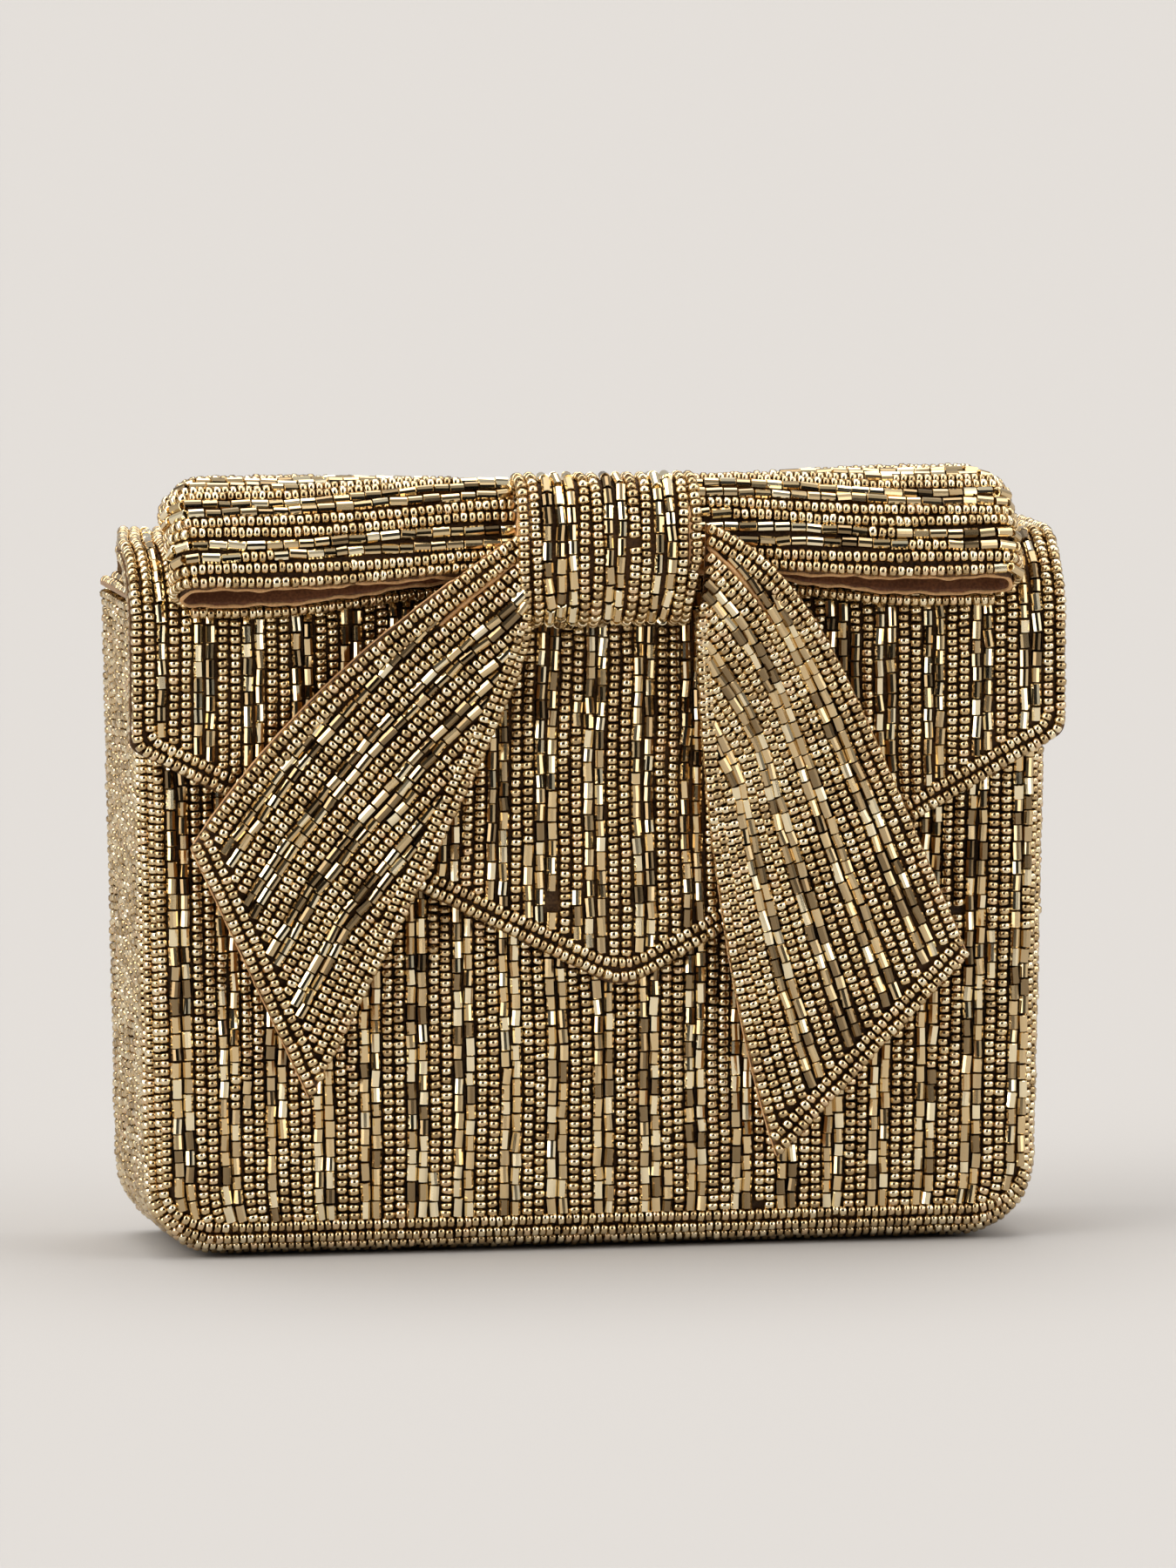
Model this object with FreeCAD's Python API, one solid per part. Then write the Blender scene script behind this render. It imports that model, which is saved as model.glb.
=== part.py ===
import FreeCAD
import Part
import math
import os

# Evening bag with a beaded body, a V-shaped flap and a bow with two tails.
# Millimetres, +Z up, +X to the bag's right side as seen from the front, front faces -Y.
# The origin is on the floor, midway between the body's sides and its front and back.

os.makedirs("parts", exist_ok=True)

# Layers of a wall, from the outside in
BEADS = 1.9
CLOTH = 0.5
BOARD = 1.0
LINING = 0.4
WALL = BEADS + CLOTH + BOARD + LINING

# Body
HALF_BASE = 81.5
HALF_TOP = 84.0
HALF_DEPTH = 22.0
BODY_TOP = 118.0
FRONT_TOP = 112.0
CORNER = 14.0
EDGE_ROUND = 6.0
SEAM_INSET = 4.5
BINDING = 0.6
SIDE_SPLIT = 66.0
CLEARANCE = 0.45

# Flap
FLAP_HALF = 85.2
FLAP_START = 119.0
FLAP_TOP = 128.5
FLAP_FRONT = 26.3
FLAP_BACK_ROUND = 7.5
FLAP_FRONT_ROUND = 16.0
FLAP_SIDE_Z = 92.0
APEX_X = 4.0
APEX_Z = 49.0
APEX_ROUND = 9.0
FLAP_CORNER_ROUND = 3.0
FLAP_NARROWS_AT = -10.3
HINGE_LEFT = 79.9
HINGE_RIGHT = 84.2
EDGE_ROWS = 3.8

# Magnetic snap
SNAP_Z = 66.0
SOCKET_R = 7.0
SOCKET_HOLE_R = 3.6
MAGNET_R = 5.6
STUD_R = 2.2
STUD_LENGTH = 1.2
WASHER_R = 6.5
WASHER = 0.5

# Bow
KNOT_LEFT = -17.5
KNOT_RIGHT = 16.0
KNOT_Y = -31.0
KNOT_Z = 127.0
KNOT_HALF_DEPTH = 7.2
KNOT_HALF_HEIGHT = 14.0
LOOP_LEAN = 45.0
LOOP_SMALL_R = 3.2
LOOP_BIG_R = 6.2
LOOP_BEADS = 2.4
LOOP_CLOTH = 0.4
LEFT_LOOP_END = -79.5
RIGHT_LOOP_END = 76.0
LOOP_INNER_EDGES = (-8.5, 9.5)
LOOP_OUTER_EDGES = (-14.0, 11.8)
TAIL_FRONT = -31.0
TAIL_CLOTH = 0.5
TAIL_EDGING = 4.4
LEFT_TAIL = [(-18.0, 112.5), (-32.0, 112.5), (-74.9, 74.6), (-53.6, 29.2), (-17.8, 103.8)]
RIGHT_TAIL = [(18.0, 112.5), (30.5, 112.5), (66.5, 54.0), (31.8, 17.7), (26.2, 33.5), (16.2, 104.0)]

FAR = 200.0


def save(shape, node):
    """Writes one piece as its own STEP file."""
    shape.exportStep("parts/" + node + ".step")


def slab(x0, x1, y0, y1, z0, z1):
    """A plain box between two corners."""
    return Part.makeBox(x1 - x0, y1 - y0, z1 - z0, FreeCAD.Vector(x0, y0, z0))


def prism_xz(points, y0, y1):
    """A flat outline drawn in X and Z, carried from y0 to y1."""
    corners = [FreeCAD.Vector(x, y0, z) for x, z in points]
    face = Part.Face(Part.makePolygon(corners + corners[:1]))
    return face.extrude(FreeCAD.Vector(0, y1 - y0, 0))


def half_width(z):
    """Half the body's width at height z."""
    return HALF_BASE + (HALF_TOP - HALF_BASE) * z / BODY_TOP


def body_outline(inset, y, top):
    """The body's front outline, moved in by inset, with rounded lower corners."""
    lean = (HALF_TOP - HALF_BASE) / BODY_TOP
    side = inset * math.sqrt(1.0 + lean * lean)
    low = half_width(inset) - side
    high = half_width(top) - side
    r = CORNER - inset
    along = math.atan(lean)
    reach = r * math.tan((math.pi / 2 + along) / 2)
    up = FreeCAD.Vector(math.sin(along), 0, math.cos(along))
    a = FreeCAD.Vector(low, y, inset)
    flat = FreeCAD.Vector(low - reach, y, inset)
    rise = a + up * reach
    centre = FreeCAD.Vector(low - reach, y, inset + r)
    turn = (along - math.pi / 2) / 2
    middle = centre + FreeCAD.Vector(r * math.cos(turn), 0, r * math.sin(turn))
    peak = FreeCAD.Vector(high, y, top)

    def flip(v):
        return FreeCAD.Vector(-v.x, v.y, v.z)

    edges = [
        Part.makeLine(flip(flat), flat),
        Part.Arc(flat, middle, rise).toShape(),
        Part.makeLine(rise, peak),
        Part.makeLine(peak, flip(peak)),
        Part.makeLine(flip(peak), flip(rise)),
        Part.Arc(flip(rise), flip(middle), flip(flat)).toShape(),
    ]
    return Part.Face(Part.Wire(edges))


def body_block(inset):
    """The whole body as one solid, its walls moved in by inset, taller than the real body."""
    y = HALF_DEPTH - inset
    top = BODY_TOP + 20.0
    block = body_outline(inset, -y, top).extrude(FreeCAD.Vector(0, 2 * y, 0))
    rims = []
    for edge in block.Edges:
        box = edge.BoundBox
        on_face = box.YLength < 1e-6
        is_lid = box.ZMin > top - 1e-6
        if on_face and not is_lid:
            rims.append(edge)
    return block.makeFillet(EDGE_ROUND - inset, rims)


def seam_prism(y0, y1):
    """Everything within the seam of the front or back panel."""
    return body_outline(SEAM_INSET, y0, BODY_TOP + 20.0).extrude(FreeCAD.Vector(0, y1 - y0, 0))


def body_layer(outside, inside):
    """The part of the body's wall between two depths, cut off at the mouth."""
    ring = body_block(outside).cut(body_block(inside))
    return ring.common(slab(-FAR, FAR, -FAR, FAR, -1.0, BODY_TOP))


def front_corner():
    """The corner of the body that the flap's fold leaves no room for."""
    block = slab(-FAR, FAR, -FAR, -FLAP_FRONT + FLAP_FRONT_ROUND, FRONT_TOP, FAR)
    return block.cut(flap_section(WALL + CLEARANCE))


def snap_drill(radius, y0, y1):
    """A round plug through the front at the snap."""
    start = FreeCAD.Vector(APEX_X, y0, SNAP_Z)
    return Part.makeCylinder(radius, y1 - y0, start, FreeCAD.Vector(0, 1, 0))


def build_body():
    """Front, back and gusset, layer by layer."""
    depths = [
        ("beads", 0.0, BEADS),
        ("fabric", BEADS, BEADS + CLOTH),
        ("board", BEADS + CLOTH, WALL - LINING),
        ("lining", WALL - LINING, WALL),
    ]
    front_seam = seam_prism(-FAR, 0.0)
    back_seam = seam_prism(0.0, FAR)
    for name, outside, inside in depths:
        layer = body_layer(outside, inside)
        front = layer.common(front_seam).common(slab(-FAR, FAR, -FAR, -HALF_DEPTH + 8.0, -1.0, FAR))
        back = layer.common(back_seam).common(slab(-FAR, FAR, HALF_DEPTH - 8.0, FAR, -1.0, FAR))
        strip = layer.cut(front).cut(back).cut(front_corner())
        front = front.common(slab(-FAR, FAR, -FAR, 0.0, -1.0, FRONT_TOP))
        if name == "beads":
            front = front.cut(snap_drill(SOCKET_R + 0.1, -FAR, 0.0))
            save(strip.common(slab(-FAR, -SIDE_SPLIT, -FAR, FAR, -1.0, FAR)), "left_gusset_beads")
            save(strip.common(slab(-SIDE_SPLIT, SIDE_SPLIT, -FAR, FAR, -1.0, FAR)), "base_gusset_beads")
            save(strip.common(slab(SIDE_SPLIT, FAR, -FAR, FAR, -1.0, FAR)), "right_gusset_beads")
        else:
            save(strip, "gusset_" + name)
        if name == "board":
            front = front.cut(snap_drill(WASHER_R + 0.1, -HALF_DEPTH + WALL - LINING - WASHER, 0.0))
        save(front, "front_" + name)
        save(back, "back_" + name)


def build_bindings():
    """Thin satin bindings that cap the wall at the front and both sides of the mouth."""
    rim = body_block(0.0).cut(body_block(WALL))
    seam = seam_prism(-FAR, 0.0)
    front = rim.common(seam).common(slab(-FAR, FAR, -FAR, 0.0, FRONT_TOP, FRONT_TOP + BINDING))
    back_end = HALF_DEPTH - EDGE_ROUND
    sides = rim.cut(seam).cut(front_corner())
    left = sides.common(slab(-FAR, 0.0, -FAR, back_end, BODY_TOP, BODY_TOP + BINDING))
    right = sides.common(slab(0.0, FAR, -FAR, back_end, BODY_TOP, BODY_TOP + BINDING))
    save(front.cut(front_corner()), "front_binding")
    save(left, "left_binding")
    save(right, "right_binding")


def build_snap():
    """Magnetic snap: the socket sits in the front panel and the stud hangs from the flap."""
    ground = -HALF_DEPTH + BEADS
    socket = snap_drill(SOCKET_R, -HALF_DEPTH, ground)
    room = snap_drill(MAGNET_R, -HALF_DEPTH + 0.4, ground)
    hole = snap_drill(SOCKET_HOLE_R, -FAR, ground)
    save(socket.cut(room).cut(hole), "snap_socket")
    save(room.cut(snap_drill(SOCKET_HOLE_R, -FAR, ground)), "snap_magnet")
    inner = -HALF_DEPTH + WALL - LINING
    save(snap_drill(WASHER_R, inner - WASHER, inner), "snap_socket_washer")
    face = -FLAP_FRONT + WALL
    stud = snap_drill(SOCKET_R, face - LINING, face)
    stud = stud.fuse(snap_drill(STUD_R, face, face + STUD_LENGTH))
    save(stud.removeSplitter(), "snap_stud")
    save(snap_drill(WASHER_R, face - LINING - WASHER, face - LINING), "snap_stud_washer")


def flap_section(inset):
    """The flap's side profile in Y and Z as a solid across the whole width."""
    back = HALF_DEPTH - inset
    top = FLAP_TOP - inset
    front = -FLAP_FRONT + inset
    r_back = FLAP_BACK_ROUND - inset
    r_front = FLAP_FRONT_ROUND - inset
    diagonal = math.sqrt(0.5)

    def at(y, z):
        return FreeCAD.Vector(-FAR, y, z)

    back_mid = at(back - r_back + r_back * diagonal, top - r_back + r_back * diagonal)
    front_mid = at(front + r_front - r_front * diagonal, top - r_front + r_front * diagonal)
    edges = [
        Part.makeLine(at(back, 0.0), at(back, top - r_back)),
        Part.Arc(at(back, top - r_back), back_mid, at(back - r_back, top)).toShape(),
        Part.makeLine(at(back - r_back, top), at(front + r_front, top)),
        Part.Arc(at(front + r_front, top), front_mid, at(front, top - r_front)).toShape(),
        Part.makeLine(at(front, top - r_front), at(front, 0.0)),
        Part.makeLine(at(front, 0.0), at(back, 0.0)),
    ]
    return Part.Face(Part.Wire(edges)).extrude(FreeCAD.Vector(2 * FAR, 0, 0))


def flap_outline(inset):
    """The flap's front outline: straight sides and a V with a rounded tip."""
    corners = [
        (-FLAP_HALF, FLAP_TOP + 20.0),
        (-FLAP_HALF, FLAP_SIDE_Z),
        (APEX_X, APEX_Z - 2.0),
        (FLAP_HALF, FLAP_SIDE_Z),
        (FLAP_HALF, FLAP_TOP + 20.0),
    ]
    rounded = prism_xz(corners, -FAR, FAR)
    for radius, height in ((APEX_ROUND, APEX_Z - 2.0), (FLAP_CORNER_ROUND, FLAP_SIDE_Z)):
        tips = [e for e in rounded.Edges if e.BoundBox.YLength > 1.0 and abs(e.BoundBox.ZMin - height) < 0.1]
        rounded = rounded.makeFillet(radius, tips)
    if inset == 0.0:
        return rounded
    side = [f for f in rounded.Faces if f.BoundBox.YLength < 1e-6 and f.BoundBox.YMin < 0][0]
    smaller = side.OuterWire.makeOffset2D(-inset)
    return Part.Face(smaller).extrude(FreeCAD.Vector(0, 2 * FAR, 0))


def flap_plan(inset):
    """The flap seen from above: its ends draw in from the fold to the hinge, more on the left."""
    front = FLAP_HALF - inset
    left = HINGE_LEFT - inset
    right = HINGE_RIGHT - inset
    corners = [
        (-front, -FAR),
        (front, -FAR),
        (front, FLAP_NARROWS_AT),
        (right, HALF_DEPTH),
        (right, FAR),
        (-left, FAR),
        (-left, HALF_DEPTH),
        (-front, FLAP_NARROWS_AT),
    ]
    points = [FreeCAD.Vector(x, y, 0.0) for x, y in corners]
    return Part.Face(Part.makePolygon(points + points[:1])).extrude(FreeCAD.Vector(0, 0, FAR))


def flap_layer(outside, inside):
    """The part of the flap's wall between two depths, from the hinge line round to the front."""
    wall = flap_section(outside).cut(flap_section(inside))
    back_part = slab(-FAR, FAR, 0.0, FAR, -1.0, FLAP_START)
    return wall.cut(back_part)


def build_flap():
    """The flap's four layers and its double row of edge beads."""
    whole = flap_outline(0.0).common(flap_plan(0.0))
    field = flap_outline(EDGE_ROWS).common(flap_plan(EDGE_ROWS))
    beads = flap_layer(0.0, BEADS).common(whole)
    save(beads.common(field), "flap_beads")
    save(beads.cut(field), "flap_edge_beads")
    save(flap_layer(BEADS, BEADS + CLOTH).common(whole), "flap_fabric")
    board = flap_layer(BEADS + CLOTH, WALL - LINING).common(flap_outline(1.5)).common(flap_plan(1.5))
    face = -FLAP_FRONT + WALL
    save(board.cut(snap_drill(WASHER_R + 0.1, face - LINING - WASHER, 0.0)), "flap_board")
    lining = flap_layer(WALL - LINING, WALL).common(whole)
    save(lining.cut(snap_drill(SOCKET_R + 0.1, -FLAP_FRONT, 0.0)), "flap_lining")


def oval(shrink, x0, x1):
    """An oval bar along X, the knot's outside moved in by shrink."""
    centre = FreeCAD.Vector(0, 0, 0)
    curve = Part.Ellipse(centre, KNOT_HALF_HEIGHT - shrink, KNOT_HALF_DEPTH - shrink)
    face = Part.Face(Part.Wire(curve.toShape()))
    bar = face.extrude(FreeCAD.Vector(0, 0, x1 - x0))
    bar.rotate(centre, FreeCAD.Vector(0, 1, 0), 90)
    bar.translate(FreeCAD.Vector(x0, KNOT_Y, KNOT_Z))
    return bar


def build_knot():
    """The knot: a beaded band, its cloth and the gathered ribbon inside."""
    outside = oval(0.0, KNOT_LEFT, KNOT_RIGHT)
    cloth = oval(BEADS, KNOT_LEFT, KNOT_RIGHT)
    core = oval(BEADS + CLOTH, KNOT_LEFT, KNOT_RIGHT)
    save(outside.cut(cloth), "knot_beads")
    save(cloth.cut(core), "knot_fabric")
    save(core, "knot_core")


def teardrop(small_x, big_x, shrink):
    """A long drop seen from above: narrow at the knot, round at the loop's fold."""
    r1 = LOOP_SMALL_R - shrink
    r2 = LOOP_BIG_R - shrink
    sign = 1.0 if big_x > small_x else -1.0
    length = abs(big_x - small_x)
    tilt = math.asin((r2 - r1) / length)

    def at(x, y):
        return FreeCAD.Vector(x, y, -25.0)

    def rim(centre, r, side):
        return at(centre - sign * r * math.sin(tilt), side * r * math.cos(tilt))

    edges = [
        Part.makeLine(rim(small_x, r1, 1), rim(big_x, r2, 1)),
        Part.Arc(rim(big_x, r2, 1), at(big_x + sign * r2, 0), rim(big_x, r2, -1)).toShape(),
        Part.makeLine(rim(big_x, r2, -1), rim(small_x, r1, -1)),
        Part.Arc(rim(small_x, r1, -1), at(small_x - sign * r1, 0), rim(small_x, r1, 1)).toShape(),
    ]
    return Part.Face(Part.Wire(edges)).extrude(FreeCAD.Vector(0, 0, 50.0))


def leaned(shape):
    """A loop built upright about the origin, leaned back so that it lies on the flap's fold."""
    away = FLAP_FRONT_ROUND + LOOP_BIG_R + 0.15
    turn = math.radians(LOOP_LEAN)
    y = -FLAP_FRONT + FLAP_FRONT_ROUND - away * math.cos(turn)
    z = FLAP_TOP - FLAP_FRONT_ROUND + away * math.sin(turn)
    shape.rotate(FreeCAD.Vector(0, 0, 0), FreeCAD.Vector(1, 0, 0), -LOOP_LEAN)
    shape.translate(FreeCAD.Vector(0, y, z))
    return shape


def build_loop(side, knot_x, end_x):
    """One loop: a beaded ribbon folded back on itself, with satin on the inside."""
    sign = 1.0 if end_x > knot_x else -1.0
    small_x = knot_x + sign * 3.0
    big_x = end_x - sign * LOOP_BIG_R
    fan = prism_xz(
        [
            (knot_x, LOOP_INNER_EDGES[0]),
            (end_x + sign, LOOP_OUTER_EDGES[0]),
            (end_x + sign, LOOP_OUTER_EDGES[1]),
            (knot_x, LOOP_INNER_EDGES[1]),
        ],
        -FAR,
        FAR,
    )
    drops = [teardrop(small_x, big_x, t).common(fan) for t in (0.0, LOOP_BEADS, LOOP_BEADS + LOOP_CLOTH)]
    save(leaned(drops[0].cut(drops[1])), side + "_loop_beads")
    save(leaned(drops[1].cut(drops[2])), side + "_loop_lining")


def build_tail(side, corners):
    """One tail: bead field, double row of edge beads, satin backing."""
    middle = TAIL_FRONT + BEADS
    points = [FreeCAD.Vector(x, TAIL_FRONT, z) for x, z in corners]
    outline = Part.makePolygon(points + points[:1])
    inner = Part.Face(outline.makeOffset2D(-TAIL_EDGING, 2)).extrude(FreeCAD.Vector(0, BEADS, 0))
    outer = Part.Face(outline).extrude(FreeCAD.Vector(0, BEADS, 0))
    save(inner, side + "_tail_beads")
    save(outer.cut(inner), side + "_tail_edging")
    save(prism_xz(corners, middle, middle + TAIL_CLOTH), side + "_tail_lining")


build_body()
build_bindings()
build_snap()
build_flap()
build_knot()
build_loop("left", KNOT_LEFT, LEFT_LOOP_END)
build_loop("right", KNOT_RIGHT, RIGHT_LOOP_END)
build_tail("left", LEFT_TAIL)
build_tail("right", RIGHT_TAIL)
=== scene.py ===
import math

import bpy
import numpy as np
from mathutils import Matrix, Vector


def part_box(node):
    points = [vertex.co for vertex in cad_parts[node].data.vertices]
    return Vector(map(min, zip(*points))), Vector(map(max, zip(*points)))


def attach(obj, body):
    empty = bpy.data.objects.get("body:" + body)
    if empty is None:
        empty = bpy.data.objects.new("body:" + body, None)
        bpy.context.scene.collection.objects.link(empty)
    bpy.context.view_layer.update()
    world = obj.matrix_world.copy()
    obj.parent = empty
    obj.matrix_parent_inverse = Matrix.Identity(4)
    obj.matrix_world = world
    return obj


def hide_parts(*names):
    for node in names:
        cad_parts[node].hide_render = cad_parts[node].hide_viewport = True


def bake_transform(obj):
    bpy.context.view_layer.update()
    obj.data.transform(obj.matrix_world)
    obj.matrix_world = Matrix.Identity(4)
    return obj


# Evening bag worked all over in gold seed beads and short tube beads, with a bow of beaded ribbon.
# Lengths are in millimetres until a mesh is made; the frame and Blender are in metres.

MM = 0.001
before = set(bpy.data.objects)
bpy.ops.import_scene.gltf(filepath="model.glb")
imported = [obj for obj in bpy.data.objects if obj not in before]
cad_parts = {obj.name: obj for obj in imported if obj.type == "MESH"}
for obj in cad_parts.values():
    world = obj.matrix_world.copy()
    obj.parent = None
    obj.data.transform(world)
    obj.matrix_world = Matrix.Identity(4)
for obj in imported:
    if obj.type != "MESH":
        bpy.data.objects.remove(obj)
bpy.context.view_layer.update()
chance = np.random.default_rng(41)

# Beads: a seed is a short round bead, a tube a longer cut one; rows are this far apart
SEED_R = 1.08
SEED_LONG = 1.36
SEED_GAP = 0.09
SEED_HOLE = 0.38
SEED_SIDES = 10
TUBE_R = 0.99
TUBE_LONG = 2.85
TUBE_GAP = 0.18
TUBE_HOLE = 0.45
TUBE_SIDES = 11
BODY_ROW = 2.16
FLAP_ROW = 2.22
RIBBON_ROW = 2.26
STEP = 0.7

# Rows come in pairs: two of seeds, two of tubes. A few beads are missing, a few stretches swapped
PATTERN = "SSBB"
MISSING = 0.0006
FEW_MISSING = 0.0005
SWAP_SHARE = 0.08
FEW_SWAPS = 0.05
SWAPPED_RUN = (4.0, 9.0)
USUAL_RUN = (14.0, 45.0)
SHORTEST_END = 6.0

# Sizes read from the frame
TOP_OF_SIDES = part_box("left_gusset_beads")[1].z / MM
HALF_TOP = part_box("right_gusset_beads")[1].x / MM
HALF_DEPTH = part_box("back_beads")[1].y / MM
FRONT_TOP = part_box("front_beads")[1].z / MM
SIDE_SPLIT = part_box("base_gusset_beads")[1].x / MM
FLAP_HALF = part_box("flap_edge_beads")[1].x / MM
FLAP_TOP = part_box("flap_beads")[1].z / MM
FLAP_FRONT = -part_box("flap_beads")[0].y / MM
KNOT_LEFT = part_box("knot_beads")[0].x / MM
KNOT_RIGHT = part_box("knot_beads")[1].x / MM
KNOT_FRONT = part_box("knot_beads")[0].y / MM
KNOT_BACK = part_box("knot_beads")[1].y / MM
KNOT_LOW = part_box("knot_beads")[0].z / MM
KNOT_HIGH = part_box("knot_beads")[1].z / MM
KNOT_X = (KNOT_LEFT + KNOT_RIGHT) / 2
KNOT_Y = (KNOT_FRONT + KNOT_BACK) / 2
KNOT_Z = (KNOT_LOW + KNOT_HIGH) / 2
LEFT_LOOP_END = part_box("left_loop_beads")[0].x / MM
RIGHT_LOOP_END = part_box("right_loop_beads")[1].x / MM

# Where the back's rows end, under the hinge, and how far each side draws in towards the base
BACK_TOP = 118.0
BASE_DRAWS_IN = 2.5

# The body's bead surface, through the middles of the beads, and its rows
CORNER = 14.0 - SEED_R
BEND = 6.5 - SEED_R
SEAM_AT_SIDE = 1.8
SEAM_AT_BASE = 4.4
GUSSET_ROWS = 10
PANEL_STEP = 0.25
ROW_OFF_SEAM = 1.15
SEAM_CLEAR = 0.75
WANDER = 0.26
WANDER_FINE = 0.16
GUSSET_WANDER = 0.2

# The flap's side profile and outline, and the rows at its edge
BACK_ROUND = 7.5
FRONT_ROUND = 16.0
SIDE_Z = 92.0
APEX = (4.0, 47.0)
HINGE_Z = 119.4
NARROWS_FROM_Y = -10.3
NARROW_LEFT = 0.062
NARROW_RIGHT = 0.012
EDGE_ROW = 2.2
FLAP_ROUNDS = (4.0, 11.0, 4.0)
SIDE_ROW_IN = 0.85
SIDE_ROW_UNDER = 1.75
EDGE_LIFT = 0.15
FIELD_OVERLAP = 0.25

# The bow's ribbon: satin behind, rows of beads in front, folds and gathers
SATIN_BEHIND = 1.15
SATIN_THICK = 0.5
HEM_R = 0.40
HEM_SIDES = 8
LOOP_ROWS = 14
LOOP_MARGIN = 0.25
LOOP_FOLD = 3.6
LOOP_RIPPLE = 0.16
TAIL_ROWS = 20
TAIL_MARGIN = -0.2
TAIL_BORDER = 2
TAIL_SINK = 0.8
CUT_CLEAR = 4.15
TAIL_TIGHTEST = 0.86
TAIL_BULGE = 1.2
UNDER_OUTER = 0.2
PLEAT_AFTER = 4
PLEAT_GAP = 1.1
KNOT_ROWS = "SSBBBSSBBSSBBSS"


# ---- points and paths


def unit(v):
    """Vectors scaled to length one."""
    return v / np.maximum(np.linalg.norm(v, axis=-1, keepdims=True), 1e-9)


def smooth(t):
    """An easy start and stop between 0 and 1."""
    t = np.clip(t, 0.0, 1.0)
    return t * t * (3.0 - 2.0 * t)


def lengths_along(path):
    """Distance from the start at each point of a path."""
    steps = np.linalg.norm(np.diff(path, axis=0), axis=1)
    return np.concatenate([[0.0], np.cumsum(steps)])


def read_at(where, along, values):
    """Values given at distances along a path, read off at other distances."""
    return np.stack([np.interp(where, along, values[:, i]) for i in range(values.shape[1])], axis=1)


def refine(points, step=STEP):
    """The same path with points about a step apart."""
    points = np.asarray(points, float)
    along = lengths_along(points)
    where = np.linspace(0.0, along[-1], max(3, int(along[-1] / step) + 1))
    return read_at(where, along, points)


def bezier(corners, t):
    """Points on the smooth curve drawn by four corners."""
    a, b, c, d = [np.asarray(p, float) for p in corners]
    t = np.asarray(t, float)[:, None]
    s = 1.0 - t
    return s**3 * a + 3 * s * s * t * b + 3 * s * t * t * c + t**3 * d


def rounded(points, radii):
    """A path through the points, each corner between its ends turned with about its own radius."""
    points = [np.asarray(p, float) for p in points]
    out = [points[0]]
    for before, here, after, radius in zip(points, points[1:], points[2:], radii):
        a = unit(before - here)
        b = unit(after - here)
        half = math.acos(float(np.clip(a @ b, -1.0, 1.0))) / 2.0
        room = 0.45 * min(np.linalg.norm(before - here), np.linalg.norm(after - here))
        reach = min(radius / math.tan(half), room)
        start = here + a * reach
        end = here + b * reach
        for t in np.linspace(0.0, 1.0, 9):
            out.append((1 - t) ** 2 * start + 2 * t * (1 - t) * here + t * t * end)
    out.append(points[-1])
    return np.array(out)


def moved_in(points, inset):
    """An open outline, walked with its inside on the left, shifted inward."""
    points = [np.asarray(p, float) for p in points]
    shifted = []
    for p, q in zip(points, points[1:]):
        along = unit(q - p)
        inward = np.array([-along[1], along[0]])
        shifted.append((p + inward * inset, q + inward * inset))
    out = [shifted[0][0]]
    for (p, q), (r, s) in zip(shifted, shifted[1:]):
        a = q - p
        b = s - r
        t = ((r - p)[0] * b[1] - (r - p)[1] * b[0]) / (a[0] * b[1] - a[1] * b[0])
        out.append(p + a * t)
    out.append(shifted[-1][1])
    return out


# ---- materials


def plain_material(name, colour, metallic=0.0, roughness=0.5):
    """A material whose values are the same all over."""
    material = bpy.data.materials.new(name)
    material.use_nodes = True
    shader = material.node_tree.nodes["Principled BSDF"]
    shader.inputs["Base Color"].default_value = (*colour, 1.0)
    shader.inputs["Metallic"].default_value = metallic
    shader.inputs["Roughness"].default_value = roughness
    return material


CLOTH_SHINE = 0.2
GRAIN_DETAIL = 2.0
GRAIN_BUMP = 0.4
GRAIN_SHARE = 0.85
DARK_UP_TO = 0.7


def math_node(nodes, links, operation, *values):
    """The result of a math node fed with plain numbers and other nodes' outputs."""
    node = nodes.new("ShaderNodeMath")
    node.operation = operation
    for socket, value in zip(node.inputs, values):
        if isinstance(value, float):
            socket.default_value = value
        else:
            links.new(value, socket)
    return node.outputs["Value"]


def noise(nodes, links, place, scale):
    """A noise pattern fixed to the object."""
    node = nodes.new("ShaderNodeTexNoise")
    node.inputs["Scale"].default_value = scale
    links.new(place.outputs["Object"], node.inputs["Vector"])
    return node


def grained_material(name, light, dark, grain, blotch, metallic=0.0, roughness=0.6, relief=0.0002):
    """A material with fine grain and broad patches, which shade its colour and raise its surface."""
    material = plain_material(name, light, metallic, roughness)
    nodes = material.node_tree.nodes
    links = material.node_tree.links
    shader = nodes["Principled BSDF"]
    if metallic == 0.0:
        shader.inputs["Specular IOR Level"].default_value = CLOTH_SHINE
    place = nodes.new("ShaderNodeTexCoord")
    fine = noise(nodes, links, place, grain)
    fine.inputs["Detail"].default_value = GRAIN_DETAIL
    broad = noise(nodes, links, place, blotch)
    both = math_node(nodes, links, "ADD", fine.outputs["Fac"], broad.outputs["Fac"])
    ramp = nodes.new("ShaderNodeValToRGB")
    for stop, position, colour in zip(ramp.color_ramp.elements, (DARK_UP_TO, 1.0), (dark, light)):
        stop.position = position
        stop.color = (*colour, 1.0)
    bump = nodes.new("ShaderNodeBump")
    bump.inputs["Strength"].default_value = GRAIN_BUMP
    bump.inputs["Distance"].default_value = relief
    links.new(math_node(nodes, links, "MULTIPLY", both, GRAIN_SHARE), ramp.inputs["Fac"])
    links.new(ramp.outputs["Color"], shader.inputs["Base Color"])
    links.new(fine.outputs["Fac"], bump.inputs["Height"])
    links.new(bump.outputs["Normal"], shader.inputs["Normal"])
    return material


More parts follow.
